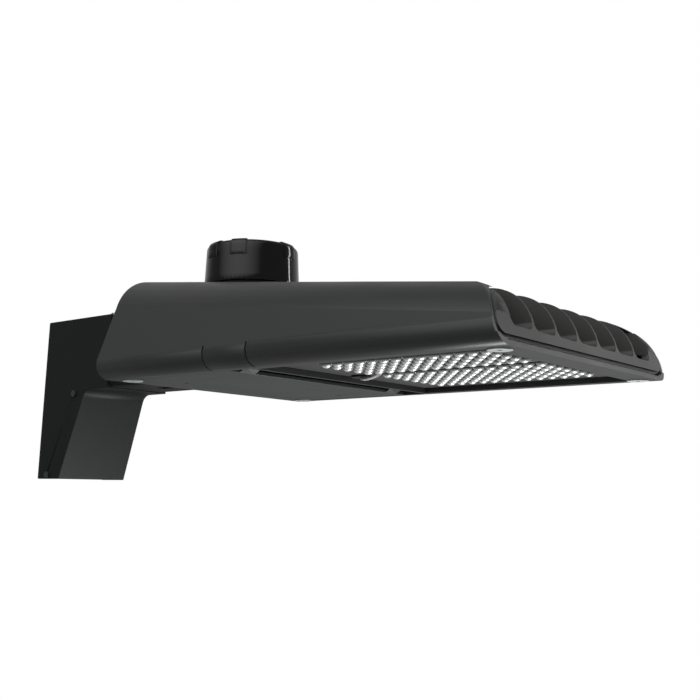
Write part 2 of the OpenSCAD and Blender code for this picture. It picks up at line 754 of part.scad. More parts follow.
// Side outline of the box: a tapering foot below a level sleeve, with a fillet at the fold
module box_profile(inset, bottom, x0, x1) {
    w = inset / cos(foot_lean);
    foot = box_foot - w + (bottom + box_low) * tan(foot_lean);
    turn = [fold[0] - w + (stub_z + inset - fold[1]) * tan(foot_lean), stub_z + inset];
    r = fold_r + inset;
    c = turn + [r * tan(45 - foot_lean / 2), -r];
    polygon([[x0, bottom], [foot, bottom], turn, [x1, turn[1]],
        [x1, box_top - inset], [x0, box_top - inset]]);
    difference() {
        polygon([turn + [-0.5, 0.5], turn + (c[0] - turn[0]) * [-sin(foot_lean), -cos(foot_lean)], c,
            [c[0], turn[1] + 0.5]]);
        translate(c) circle(r);
    }
}
module wall_box() {
    color("#2a2b2c") difference() {
        intersection() {
            along_x(gasket_t, sleeve_len) box_section(0, -box_low, box_top);
            along_y(-big, big) box_profile(0, -box_low, gasket_t, sleeve_len);
        }
        // The box is hollow and open at the foot, where the plate closes it
        intersection() {
            along_x(-5, sleeve_len + 5) box_section(box_wall, -box_low - over, box_top - box_wall);
            along_y(-big, big) box_profile(box_wall, -box_low - over, -5, sleeve_len + 5);
        }
        side_holes(box_screw_r + 0.2);
        neck_bolt_holes(neck_bolt_r + hole_gap);
    }
}
module side_holes(r) {
    for (p = box_screw_at) both_sides() rod_y(p[0], neck_half - 20, neck_half + 20, p[1], r);
}
module neck_bolt_holes(r) {
    for (y = [-neck_bolt_at[1], neck_bolt_at[1]]) rod_z(neck_bolt_at[0], y, box_top / 2, box_top + 20, r);
}
module wall_box_screws() {
    color("#b4b8ba") for (p = box_screw_at) both_sides() {
        rod_y(p[0], box_half(p[1]) + 0.2, box_half(p[1]) + 0.2 + box_head_t, p[1], box_head_r);
        rod_y(p[0], box_half(p[1]) - box_wall - flange_t - 1.4, box_half(p[1]) + 0.4, p[1],
            box_screw_r);
    }
}
module wall_plate() {
    side = box_wall + 0.4;
    foot = -box_low + 0.5;
    reach = box_foot - box_wall - 1.5;
    front = fold[0] - 8.3;
    color("#8c9094") difference() {
        union() {
            along_x(0, plate_t) box_section(box_wall + gasket_w, -box_low + gasket_w + rest_gap,
                box_top - gasket_w - rest_gap);
            along_x(gasket_t + rest_gap, plate_t) box_section(side, foot, flange_top);
            // Side flanges and the foot that closes the box
            intersection() {
                along_x(gasket_t + rest_gap, 2 * fold[0]) difference() {
                    box_section(side, foot, flange_top);
                    box_section(side + flange_t, foot + flange_t, flange_top + over);
                }
                along_y(-big, big) polygon([[0, foot], [reach, foot], [front, fold[1] - 11],
                    [front, flange_top], [0, flange_top]]);
            }
        }
        for (y = [-1, 1], z = [-1, 1])
            rod_x(-over, plate_t + over, y * bolt_span_y / 2, z * bolt_span_z / 2, bolt_hole_r);
        rod_x(-over, plate_t + over, 0, wire_z, wire_hole_r);
        side_holes(box_screw_r + thread_gap);
    }
}
module wall_gasket() {
    color("#1c1c1c") along_x(0, gasket_t) difference() {
        box_section(0.3, -box_low + 0.3, box_top - 0.3);
        box_section(gasket_w, -box_low + gasket_w, box_top - gasket_w);
    }
}
// Upright section of a tube or bar with rounded corners
module tube_section(half, low, high, r) {
    difference() {
        translate([-half, low]) square([2 * half, high - low]);
        for (m = [0, 1]) mirror([m, 0]) {
            round_corner([half - r, low + r], r, -90, 0);
            round_corner([half - r, high - r], r, 0, 90);
        }
    }
}
module neck() {
    pad_x = back_x - neck_pad - 2;
    color("#2a2b2c") difference() {
        union() {
            along_x(spigot_x, sleeve_len + 2) tube_section(spigot_half, spigot_low, spigot_high, spigot_r);
            along_x(sleeve_len + 0.4, neck_end) tube_section(neck_half, neck_low, neck_high, neck_r);
        }
        along_x(spigot_x - over, pad_x)
            tube_section(spigot_half - box_wall, spigot_low + box_wall, spigot_high - box_wall, spigot_r - 1);
        rod_x(pad_x - over, back_x, 0, entry_z, entry_r);
        for (y = [-rear_bolt_y, rear_bolt_y], z = rear_bolt_z)
            rod_x(back_x - neck_pad + 2, back_x, y, z, rear_bolt_r + thread_gap);
        neck_bolt_holes(neck_bolt_r + thread_gap);
        // Weep slot in the underside
        block(neck_weep[0], neck_weep[1], [0, spigot_low + box_wall + over]);
    }
}
module neck_bolts() {
    color("#b4b8ba") for (y = [-neck_bolt_at[1], neck_bolt_at[1]]) {
        rod_z(neck_bolt_at[0], y, box_top + washer_t + 0.1, box_top + washer_t + 3.8, 2 * neck_bolt_r);
        rod_z(neck_bolt_at[0], y, spigot_high - box_wall - 6, box_top + 2, neck_bolt_r);
    }
}
module neck_washers() {
    color("#1c1c1c") for (y = [-neck_bolt_at[1], neck_bolt_at[1]]) difference() {
        rod_z(neck_bolt_at[0], y, box_top + seal_gap, box_top + seal_gap + washer_t, 2 * neck_bolt_r + 1);
        rod_z(neck_bolt_at[0], y, box_top - over, box_top + 3, neck_bolt_r + 0.2);
    }
}
module neck_gasket() {
    color("#1c1c1c") difference() {
        along_x(neck_end + seal_gap, back_x - seal_gap)
            tube_section(neck_half - 1, neck_low + 1, neck_high - 1, neck_r - 1);
        rod_x(0, big, 0, entry_z, entry_r + 1);
        for (y = [-rear_bolt_y, rear_bolt_y], z = rear_bolt_z) rod_x(0, big, y, z, rear_bolt_r + 0.4);
    }
}
module housing_bolts() {
    color("#b4b8ba") for (y = [-rear_bolt_y, rear_bolt_y], z = rear_bolt_z) {
        translate([back_x + skin + 0.05, y, z]) rotate([0, 90, 0]) cylinder(h = 5, r = 7, $fn = 6);
        rod_x(back_x - neck_pad + 4, back_x + skin + 1, y, z, rear_bolt_r);
    }
}
module wire_grommet() {
    color("#161616") difference() {
        union() {
            rod_x(back_x - 0.5, back_x + skin + 0.2, 0, entry_z, entry_r - 0.1);
            rod_x(back_x + skin + 0.1, back_x + skin + 2, 0, entry_z, entry_r + 2.4);
        }
        for (y = [-supply_pitch, 0, supply_pitch]) rod_x(0, big, y, entry_z, supply_r + 0.1);
    }
}
module supply_wires() {
    low = spigot_low + box_wall + supply_r + 0.8;
    color("#20242a") for (i = [-1, 0, 1]) {
        y = i * supply_pitch;
        wire([
            [plate_t + 2, y, wire_z],
            [plate_t + 10, y, wire_z],
            [spigot_x - 15, y, low + 6],
            [spigot_x + 10, y, low + 1],
            [sleeve_len, y, low],
            [sleeve_len + 30, y, low + 2],
            [back_x - neck_pad - 35, y, low + 12],
            [back_x - neck_pad - 10, y, entry_z - 1.5],
            [back_x - neck_pad, y, entry_z],
            [back_x - 6, y, entry_z],
            [back_x + skin + 3, y, entry_z],
            [block_at[0] - rest_gap, y, entry_z]], supply_r, [0, 1, 0], 3);
    }
}

// ---- Driver bay ----
module driver_tray() {
    color("#a8acae") difference() {
        block([tray_back, tray_front], [-tray_half, tray_half], [tray_z - tray_t, tray_z]);
        for (x = tray_post_x, y = tray_post_y) tray_hole([x, y], tray_screw_r + hole_gap);
        for (p = concat(driver_screw_at, surge_screw_at, [ground_at]))
            tray_hole(p, tray_screw_r + thread_gap);
        tray_hole([cell_lead_x, 0], cell_lead_hole_r);
    }
}
module tray_hole(p, r) {
    rod_z(p[0], p[1], 0, big, r);
}
module tray_screws() {
    color("#b4b8ba") for (x = tray_post_x, y = tray_post_y) {
        rod_z(x, y, tray_z - tray_t - tray_head_t, tray_z - tray_t, tray_head_r);
        rod_z(x, y, tray_z - tray_t - 1, tray_z + post_reach, tray_screw_r);
    }
}
// A box of the given size that hangs under the tray
module hung_box(at, size) {
    translate([at[0], at[1], hang_z - size[2]]) cube(size);
}
module driver() {
    color("#d0d2d0") difference() {
        union() {
            hung_box(driver_at, driver_size);
            for (y = [-driver_ear[1], driver_size[1]])
                hung_box(driver_at + [(driver_size[0] - driver_ear[0]) / 2, y],
                    [driver_ear[0], driver_ear[1], ear_t]);
        }
        for (p = driver_screw_at) tray_hole(p, tray_screw_r + hole_gap);
    }
}
// A screw that holds an ear up against the tray
module ear_screw(p) {
    rod_z(p[0], p[1], hang_z - ear_t - tray_head_t, hang_z - ear_t - 0.1, tray_head_r);
    rod_z(p[0], p[1], hang_z - ear_t - 1, tray_z + 1, tray_screw_r);
}
module driver_screws() {
    color("#b4b8ba") for (p = driver_screw_at) ear_screw(p);
}
module surge_protector() {
    color("#2c4a6a") difference() {
        union() {
            hung_box(surge_at, surge_size);
            hung_box(surge_at + [(surge_size[0] - surge_ear[0]) / 2, -surge_ear[1]],
                [surge_ear[0], surge_size[1] + 2 * surge_ear[1], ear_t]);
        }
        for (p = surge_screw_at) tray_hole(p, tray_screw_r + hole_gap);
    }
}
module surge_screws() {
    color("#b4b8ba") for (p = surge_screw_at) ear_screw(p);
}
module terminal_block() {
    low = hang_z - block_size[2];
    color("#e4e4de") difference() {
        hung_box(block_at, block_size);
        for (y = [-1, 0, 1])
            rod_z(block_at[0] + block_size[0] / 2, y * terminal_pitch, low - over, low + 5, 3.4);
    }
}
module terminal_screws() {
    low = hang_z - block_size[2];
    color("#c8b060") for (y = [-1, 0, 1])
        rod_z(block_at[0] + block_size[0] / 2, y * terminal_pitch, low + 1, low + 4.95, 3);
}
module bay_wires() {
    x0 = block_at[0] + block_size[0] + 0.1;
    span = driver_at[0] - 0.1 - x0;
    y0 = block_at[1] + block_size[1] + 0.1;
    run = surge_at[1] - 0.1 - y0;
    z = hang_z - block_size[2] / 2;
    color("#c03028") {
        // To the driver
        for (y = [-8, 8]) wire([[x0, y, z], [x0 + span / 4, y, z], [x0 + span / 2, y, z - 1.5],
            [x0 + span * 3 / 4, y, z - 3], [x0 + span, y, z - 3]], 1.2, [0, 1, 0]);
        // To the surge protector
        for (x = [surge_at[0] + 4, surge_at[0] + 9]) wire([[x, y0, z], [x, y0 + run / 4, z - 0.4],
            [x, y0 + run / 2, z - 1.6], [x, y0 + run * 3 / 4, z - 0.4], [x, y0 + run, z]],
            1.2, [1, 0, 0]);
        // From the receptacle
        for (y = [-3, 0, 3]) wire([[cell_lead_x, y, tray_z + 5.7], [cell_lead_x, y, tray_z + 1],
            [cell_lead_x - 0.6, y, hang_z - 1.5], [x0 + 3, y, z + 4.4], [x0, y, z + 4]], 1.2, [0, 1, 0]);
    }
}
module ground_screw() {
    color("#3f8f4a") {
        rod_z(ground_at[0], ground_at[1], hang_z - tray_head_t, tray_z - tray_t - 0.05, 3.6);
        rod_z(ground_at[0], ground_at[1], tray_z - tray_t - 1, tray_z + 2, tray_screw_r);
    }
}

// ---- Photocell and its receptacle ----
module ring(r0, r1, z0, z1) {
    translate([cell_x, 0, z0]) difference() {
        cylinder(h = z1 - z0, r = r1);
        translate([0, 0, -over]) cylinder(h = z1 - z0 + 2 * over, r = r0);
    }
}
// A piece of a ring of thickness t round the photocell axis, centred on the angle given last
module arc_block(r, t, half, z0, z1, at) {
    translate([cell_x, 0, z0]) rotate([0, 0, at - half])
        rotate_extrude(angle = 2 * half) translate([r - t / 2, 0]) square([t, z1 - z0]);
}
module ring_screws(z0, z1, r) {
    for (a = [45, 225]) translate([cell_x, 0, 0]) rotate([0, 0, a]) rod_z(ring_screw_at, 0, z0, z1, r);
}
module receptacle_gasket() {
    color("#1c1c1c") difference() {
        ring(core_r + 1.5, seat_r - 1, seat_z + seal_gap, ring_z - seal_gap);
        ring_screws(0, big, ring_screw_r + hole_gap);
    }
}
module receptacle_ring() {
    color("#2a2b2c") difference() {
        union() {
            ring(turn_r + rest_gap, seat_r - 1, ring_z, ring_z + ring_t);
            ring(turn_r - 2.5, turn_r + 1, ring_z + ring_t - ring_lip, ring_z + ring_t);
        }
        ring_screws(0, big, ring_screw_r + hole_gap);
    }
}
module receptacle_screws() {
    color("#b4b8ba") {
        ring_screws(ring_z + ring_t, ring_z + ring_t + 1.6, 2.8);
        ring_screws(seat_z - 6, ring_z + ring_t + 0.5, ring_screw_r);
    }
}
module receptacle() {
    color("#202224") difference() {
        union() {
            rod_z(cell_x, 0, tray_z + 6, face_z, core_r);
            rod_z(cell_x, 0, ring_z + 0.2, ring_z + ring_t - ring_lip - rest_gap, turn_r);
            rod_z(cell_x, 0, ring_z + 0.2, face_z, turn_r - 2.5 - rest_gap);
        }
        for (a = [0, 120, 240])
            arc_block(blade_r, blade_t + 1.2, blade_half + blade_turn + 6, face_z - 14, face_z + over, a);
    }
}
module receptacle_contacts() {
    color("#c8a850") for (a = [0, 120, 240])
        arc_block(blade_r, blade_t - 0.3, blade_half, face_z - 13.95, face_z - 12.6, a);
}
module photocell_base() {
    color("#26282a") rod_z(cell_x, 0, rim_z, rim_z + base_t, cell_r - cap_t - rest_gap);
}
module photocell_blades() {
    color("#c8a850") for (a = [0, 120, 240])
        arc_block(blade_r, blade_t, blade_half, face_z - 11, rim_z - seal_gap, a - blade_turn / 2);
}
module photocell_gasket() {
    color("#1c1c1c") ring(18, 27, face_z + rest_gap, rim_z - seal_gap);
}
// The round outer form of the cap, standing out by the given amount
module cap_form(out) {
    top = cap_top - grip_rise;
    lean = atan(cap_taper / (top - cap_low));
    mid_z = top - cap_edge;
    mid_r = cell_r - (cap_edge + (mid_z - cap_low) * sin(lean)) / cos(lean);
    rim_r = cell_r + out / cos(lean);
    translate([cell_x, 0, 0]) rotate_extrude() difference() {
        polygon([[0, cap_low], [rim_r, cap_low], [rim_r - (top + out - cap_low) * tan(lean), top + out],
            [0, top + out]]);
        round_corner([mid_r, mid_z], cap_edge + out, lean, 90);
    }
}
module photocell_cap() {
    grip_in = cap_room_r - 3.75;
    color("#141516") difference() {
        union() {
            cap_form(0);
            // Finger grips
            intersection() {
                cap_form(grip_rise);
                for (a = grip_at)
                    arc_block((grip_in + cell_r + 3) / 2, cell_r + 3 - grip_in, grip_half,
                        cap_top - grip_drop, cap_top + over, a);
            }
        }
        rod_z(cell_x, 0, cap_low - over, cell_board_z + 4, cell_r - cap_t);
        rod_z(cell_x, 0, cap_low - over, cap_top - grip_rise - cap_t, cap_room_r);
    }
}
module photocell_board() {
    color("#2f6a3c") {
        rod_z(cell_x, 0, cell_board_z, cell_board_z + cell_board_t, cell_board_r);
        for (a = [60, 180, 300]) translate([cell_x, 0, 0]) rotate([0, 0, a])
            rod_z(cell_board_r - 8, 0, rim_z + base_t + seal_gap, cell_board_z + 0.1, cell_post_r);
    }
}
module photocell_sensor() {
    low = cell_board_z + cell_board_t + seal_gap;
    color("#d8c8a0") {
        rod_z(cell_x + 14, 0, low, low + sensor_h, sensor_r);
        block([cell_x - 4 - relay_size[0], cell_x - 4], [-relay_size[1] / 2, relay_size[1] / 2],
            [low, low + relay_size[2]]);
    }
}

wall_gasket();
wall_plate();
wall_box();
wall_box_screws();
neck();
neck_bolts();
neck_washers();
neck_gasket();
housing_bolts();
wire_grommet();
supply_wires();
housing_shell();
heat_sink();
optic_frame();
optic_gasket();
lens_near();
lens_far();
led_board_near();
led_board_far();
led_chips();
thermal_pads();
board_screws();
front_screws();
lead_port();
led_leads();
rear_door();
door_gasket();
door_screw_near();
door_screw_far();
hinge_pins();
driver_tray();
tray_screws();
driver();
driver_screws();
surge_protector();
surge_screws();
terminal_block();
terminal_screws();
bay_wires();
ground_screw();
receptacle_gasket();
receptacle_ring();
receptacle_screws();
receptacle();
receptacle_contacts();
photocell_base();
photocell_blades();
photocell_gasket();
photocell_cap();
photocell_board();
photocell_sensor();
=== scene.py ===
"""Looks of a shoebox area light on a short wall arm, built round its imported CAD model.

Lengths are in metres, in the model's own frame: X = 0 is the wall, +X points to the nose, +Y runs
across the light and Z = 0 is the flat underside of the housing.
"""

import logging
import math
from collections.abc import Callable, Sequence
from dataclasses import dataclass, field
from enum import Enum

import bpy
from mathutils import Matrix, Vector

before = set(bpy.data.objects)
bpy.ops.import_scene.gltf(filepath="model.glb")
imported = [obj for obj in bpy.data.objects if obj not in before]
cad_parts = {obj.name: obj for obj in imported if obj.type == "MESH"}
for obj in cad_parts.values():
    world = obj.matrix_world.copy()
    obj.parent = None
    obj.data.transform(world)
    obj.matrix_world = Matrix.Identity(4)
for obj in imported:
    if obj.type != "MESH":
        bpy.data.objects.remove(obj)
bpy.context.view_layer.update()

Colour = tuple[float, float, float]
Node = bpy.types.Node
Socket = bpy.types.NodeSocket
MM = 0.001
NOISE_MEAN = 0.5

log = logging.getLogger("area_light")


# ---- Node helpers ----


class Graph:
    """A short way to add and join the nodes of one shader tree."""

    # Places of the two colours among a Mix node's inputs, and of the result among its outputs.
    MIX_FIRST = 6
    MIX_SECOND = 7
    MIX_RESULT = 2

    NOISE_ROUGHNESS = 0.55

    def __init__(self, tree: bpy.types.NodeTree) -> None:
        """Keeps the tree that the nodes go into."""
        self.tree = tree

    def add(self, kind: str, inputs: dict | None = None, **settings: object) -> Node:
        """Adds one node.

        Args:
            kind: Blender's name of the node type.
            inputs: Socket name or index to a value, or to the output that feeds it.
            settings: Attributes of the node itself.

        Returns:
            The new node.
        """
        node = self.tree.nodes.new(kind)
        for name, value in settings.items():
            setattr(node, name, value)
        for name, value in (inputs or {}).items():
            if isinstance(value, Socket):
                self.tree.links.new(value, node.inputs[name])
            else:
                node.inputs[name].default_value = value
        return node

    def math(self, operation: str, a: object, b: object = 0.0, clamp: bool = False) -> Socket:
        """Returns the output of a two-value Math node."""
        node = self.add("ShaderNodeMath", {0: a, 1: b}, operation=operation, use_clamp=clamp)
        return node.outputs[0]

    def mix(self, factor: object, a: object, b: object) -> Socket:
        """Returns colour a blended towards colour b by the factor."""
        node = self.add("ShaderNodeMix", {0: factor, self.MIX_FIRST: a, self.MIX_SECOND: b},
                        data_type="RGBA")
        return node.outputs[self.MIX_RESULT]

    def remap(self, value: Socket, low: float, high: float,
              out_low: float = 0.0, out_high: float = 1.0) -> Socket:
        """Returns the value carried from low..high to out_low..out_high, held at both ends."""
        node = self.add("ShaderNodeMapRange", {0: value, 1: low, 2: high, 3: out_low, 4: out_high})
        return node.outputs[0]

    def place(self) -> Socket:
        """Returns the point in the object's own frame, in metres."""
        return self.add("ShaderNodeTexCoord").outputs["Object"]

    def noise(self, size: float, detail: float = 2.0) -> Socket:
        """Adds noise.

        Args:
            size: About how large its features are, in metres.
            detail: How many finer layers it has.

        Returns:
            The noise, from 0 to 1.
        """
        node = self.add("ShaderNodeTexNoise", {
            "Vector": self.place(), "Scale": 1.0 / size, "Detail": detail,
            "Roughness": self.NOISE_ROUGHNESS})
        return node.outputs["Fac"]


def rgba(colour: Sequence[float]) -> tuple[float, float, float, float]:
    """Returns a colour with full alpha."""
    return (colour[0], colour[1], colour[2], 1.0)


# ---- Effects that several finishes share ----


class Effects:
    """Shader node groups, each built once and used by every finish that needs it."""

    # Mottle: how much finer the specks are, and what clouds and specks do to tone and gloss.
    SPECK_FINENESS = 30.0
    CLOUD_SHARE = 1.4
    SPECK_SHARE = 0.6
    CLOUD_GLOSS = 0.12

    # Dust: how far a face has to look up, as a cosine, and which part of the clouds holds it.
    DUST_SLOPE = (0.6, 1.0)
    DUST_CLOUD = (0.42, 0.7)
    DUST_TONE: Colour = (0.3, 0.29, 0.27)
    DUST_SHARE = 0.035
    DUST_GLOSS = 0.06

    # Orange peel: cells with longer waves under them.
    PEEL_SMOOTHNESS = 0.8
    CELL_SHARE = 0.5
    WAVE_FINENESS = 0.25
    WAVE_SHARE = 0.6

    # Edge wear: from which to which cosine a rounded normal leaves the face's own, and the noise
    # that breaks the rubbed line up.
    BEVEL_SAMPLES = 6
    EDGE_MATCH = (0.995, 0.86)
    BREAK_SIZE = 4 * MM
    BREAK_DETAIL = 5.0
    BREAK_NOISE = (0.3, 0.62)
    BREAK_MASK = (0.25, 1.0)

    DIMPLE_REACH = 0.7

    def __init__(self) -> None:
        """Starts with no group built."""
        self._built: dict[str, bpy.types.NodeTree] = {}

    def _group(self, name: str, inputs: dict[str, str], outputs: dict[str, str],
               fill: Callable[[Graph, Node, Node], None]) -> bpy.types.NodeTree:
        """Builds a group on its first use.

        Args:
            name: The group's name.
            inputs: Input name to socket type.
            outputs: Output name to socket type.
            fill: Adds the nodes between the group's input and output nodes.

        Returns:
            The node group.
        """
        if name in self._built:
            return self._built[name]
        tree = bpy.data.node_groups.new(name, "ShaderNodeTree")
        for socket, kind in inputs.items():
            tree.interface.new_socket(socket, in_out="INPUT", socket_type=kind)
        for socket, kind in outputs.items():
            tree.interface.new_socket(socket, in_out="OUTPUT", socket_type=kind)
        graph = Graph(tree)
        fill(graph, graph.add("NodeGroupInput"), graph.add("NodeGroupOutput"))
        self._built[name] = tree
        return tree

    def mottle(self) -> bpy.types.NodeTree:
        """Uneven tone and gloss: broad clouds, small specks and a little dust that lies on top.

        Returns:
            A group with inputs Tone, Size and Amount, and outputs Color and Gloss Shift.
        """
        def fill(g: Graph, start: Node, end: Node) -> None:
            """Adds the group's own nodes."""
            scale = g.math("DIVIDE", 1.0, start.outputs["Size"])
            broad = g.add("ShaderNodeTexNoise", {"Vector": g.place(), "Scale": scale, "Detail": 4.0})
            fine = g.add("ShaderNodeTexNoise", {
                "Vector": g.place(), "Scale": g.math("MULTIPLY", scale, self.SPECK_FINENESS),
                "Detail": 2.0})
            cloud = g.math("SUBTRACT", broad.outputs["Fac"], NOISE_MEAN)
            speck = g.math("SUBTRACT", fine.outputs["Fac"], NOISE_MEAN)
            shift = g.math("ADD", g.math("MULTIPLY", cloud, self.CLOUD_SHARE),
                           g.math("MULTIPLY", speck, self.SPECK_SHARE))
            amount = g.math("MULTIPLY", shift, start.outputs["Amount"])
            up = g.add("ShaderNodeSeparateXYZ", {0: g.add("ShaderNodeNewGeometry").outputs["Normal"]})
            dust = g.math("MULTIPLY", g.remap(up.outputs["Z"], *self.DUST_SLOPE),
                          g.remap(broad.outputs["Fac"], *self.DUST_CLOUD))
            bright = g.add("ShaderNodeHueSaturation", {
                "Value": g.math("ADD", 1.0, amount), "Color": start.outputs["Tone"]})
            dusted = g.mix(g.math("MULTIPLY", dust, self.DUST_SHARE), bright.outputs["Color"],
                           rgba(self.DUST_TONE))
            gloss = g.math("ADD", g.math("MULTIPLY", cloud, self.CLOUD_GLOSS),
                           g.math("MULTIPLY", dust, self.DUST_GLOSS))
            g.tree.links.new(dusted, end.inputs["Color"])
            g.tree.links.new(gloss, end.inputs["Gloss Shift"])
        return self._group(
            "mottle",
            {"Tone": "NodeSocketColor", "Size": "NodeSocketFloat", "Amount": "NodeSocketFloat"},
            {"Color": "NodeSocketColor", "Gloss Shift": "NodeSocketFloat"}, fill)

    def orange_peel(self) -> bpy.types.NodeTree:
        """The low soft bumps of sprayed and baked powder.

        Returns:
            A group with the input Size in metres and the output Height from 0 to 1.
        """
        def fill(g: Graph, start: Node, end: Node) -> None:
            """Adds the group's own nodes."""
            scale = g.math("DIVIDE", 1.0, start.outputs["Size"])
            cells = g.add("ShaderNodeTexVoronoi", {
                "Vector": g.place(), "Scale": scale, "Smoothness": self.PEEL_SMOOTHNESS},
                feature="SMOOTH_F1")
            waves = g.add("ShaderNodeTexNoise", {
                "Vector": g.place(), "Scale": g.math("MULTIPLY", scale, self.WAVE_FINENESS),
                "Detail": 3.0})
            height = g.math("ADD", g.math("MULTIPLY", cells.outputs["Distance"], self.CELL_SHARE),
                            g.math("MULTIPLY", waves.outputs["Fac"], self.WAVE_SHARE))
            g.tree.links.new(height, end.inputs["Height"])
        return self._group(
            "orange_peel", {"Size": "NodeSocketFloat"}, {"Height": "NodeSocketFloat"}, fill)

    def edge_wear(self) -> bpy.types.NodeTree:
        """A mask that is bright where an edge is rubbed, and broken up along it.

        Returns:
            A group with the inputs Width in metres and Amount, and the output Mask from 0 to 1.
        """
        def fill(g: Graph, start: Node, end: Node) -> None:
            """Adds the group's own nodes."""
            rounded = g.add("ShaderNodeBevel", {"Radius": start.outputs["Width"]},
                            samples=self.BEVEL_SAMPLES)
            flat = g.add("ShaderNodeNewGeometry")
            match = g.add("ShaderNodeVectorMath", {0: rounded.outputs[0], 1: flat.outputs["Normal"]},
                          operation="DOT_PRODUCT")
            edge = g.remap(match.outputs["Value"], *self.EDGE_MATCH)
            broken = g.remap(g.noise(self.BREAK_SIZE, self.BREAK_DETAIL),
                             *self.BREAK_NOISE, *self.BREAK_MASK)
            mask = g.math("MULTIPLY", g.math("MULTIPLY", edge, broken), start.outputs["Amount"],
                          clamp=True)
            g.tree.links.new(mask, end.inputs["Mask"])
        return self._group(
            "edge_wear", {"Width": "NodeSocketFloat", "Amount": "NodeSocketFloat"},
            {"Mask": "NodeSocketFloat"}, fill)

    def brushed(self) -> bpy.types.NodeTree:
        """Fine lines along one direction, as rolled sheet and turned screw heads have.

        Returns:
            A group with the inputs Size in metres and Stretch, a vector that is small along the lines,
            and the output Height from 0 to 1.
        """
        def fill(g: Graph, start: Node, end: Node) -> None:
            """Adds the group's own nodes."""
            along = g.add("ShaderNodeVectorMath", {0: g.place(), 1: start.outputs["Stretch"]},
                          operation="MULTIPLY")
            lines = g.add("ShaderNodeTexNoise", {
                "Vector": along.outputs[0], "Detail": 3.0,
                "Scale": g.math("DIVIDE", 1.0, start.outputs["Size"])})
            g.tree.links.new(lines.outputs["Fac"], end.inputs["Height"])
        return self._group(
            "brushed", {"Size": "NodeSocketFloat", "Stretch": "NodeSocketVector"},
            {"Height": "NodeSocketFloat"}, fill)

    def pebble(self) -> bpy.types.NodeTree:
        """The fine dimpled skin of moulded plastic and rubber.

        Returns:
            A group with the input Size in metres and the output Height from 0 to 1.
        """
        def fill(g: Graph, start: Node, end: Node) -> None:
            """Adds the group's own nodes."""
            scale = g.math("DIVIDE", 1.0, start.outputs["Size"])
            dimples = g.add("ShaderNodeTexVoronoi", {"Vector": g.place(), "Scale": scale}, feature="F1")
            g.tree.links.new(g.remap(dimples.outputs["Distance"], 0.0, self.DIMPLE_REACH),
                             end.inputs["Height"])
        return self._group(
            "pebble", {"Size": "NodeSocketFloat"}, {"Height": "NodeSocketFloat"}, fill)


# ---- Finishes ----


@dataclass(frozen=True)
class Finish:
    """What every finish has: a name, a base tone and a roughness."""

    name: str
    tone: Colour
    roughness: float

    def start(self) -> tuple[bpy.types.Material, Graph, Node]:
        """Returns a new material, its graph and its Principled BSDF with the roughness set."""
        material = bpy.data.materials.new(self.name)
        material.use_nodes = True
        graph = Graph(material.node_tree)
        shader = material.node_tree.nodes["Principled BSDF"]
        shader.inputs["Roughness"].default_value = self.roughness
        shader.inputs["Base Color"].default_value = rgba(self.tone)
        return material, graph, shader

    def make(self, effects: Effects) -> bpy.types.Material:
        """Returns the finished material."""
        raise NotImplementedError

    def mottled(self, graph: Graph, effects: Effects, size: float,
                amount: float) -> tuple[Socket, Socket]:
        """Adds the mottle group.

        Args:
            graph: The material's graph.
            effects: The shared groups.
            size: Size of the clouds in metres.
            amount: Share by which the tone varies.

        Returns:
            The colour and the roughness that vary over the surface.
        """
        node = graph.add("ShaderNodeGroup", {}, node_tree=effects.mottle())
        node.inputs["Tone"].default_value = rgba(self.tone)
        node.inputs["Size"].default_value = size
        node.inputs["Amount"].default_value = amount
        rough = graph.math("ADD", node.outputs["Gloss Shift"], self.roughness, clamp=True)
        return node.outputs["Color"], rough


def bump(graph: Graph, shader: Node, height: Socket, depth: float) -> None:
    """Feeds a height to the shader's Normal.

    Args:
        graph: The material's graph.
        shader: The Principled BSDF.
        height: Height from 0 to 1.
        depth: What a height of 1 stands for, in metres.
    """
    node = graph.add("ShaderNodeBump", {"Height": height, "Strength": 1.0, "Distance": depth})
    graph.tree.links.new(node.outputs["Normal"], shader.inputs["Normal"])


@dataclass(frozen=True)
class PowderCoat(Finish):
    """Baked powder paint on a casting, rubbed a little lighter along its edges."""

    peel_size: float = 1.1 * MM
    peel_depth: float = 0.02 * MM
    edge_tone: Colour = (0.12, 0.125, 0.12)
    edge_width: float = 0.7 * MM
    wear: float = 0.5
    specular: float = 0.5

    def make(self, effects: Effects) -> bpy.types.Material:
        """Returns the finished material."""
        material, graph, shader = self.start()
        shader.inputs["Specular IOR Level"].default_value = self.specular
        colour, rough = self.mottled(graph, effects, 60 * MM, 0.10)
        wear = graph.add("ShaderNodeGroup", node_tree=effects.edge_wear())
        wear.inputs["Width"].default_value = self.edge_width
        wear.inputs["Amount"].default_value = self.wear
        worn = graph.mix(wear.outputs["Mask"], colour, rgba(self.edge_tone))
        graph.tree.links.new(worn, shader.inputs["Base Color"])
        graph.tree.links.new(rough, shader.inputs["Roughness"])
        peel = graph.add("ShaderNodeGroup", node_tree=effects.orange_peel())
        peel.inputs["Size"].default_value = self.peel_size
        bump(graph, shader, peel.outputs["Height"], self.peel_depth)
        return material


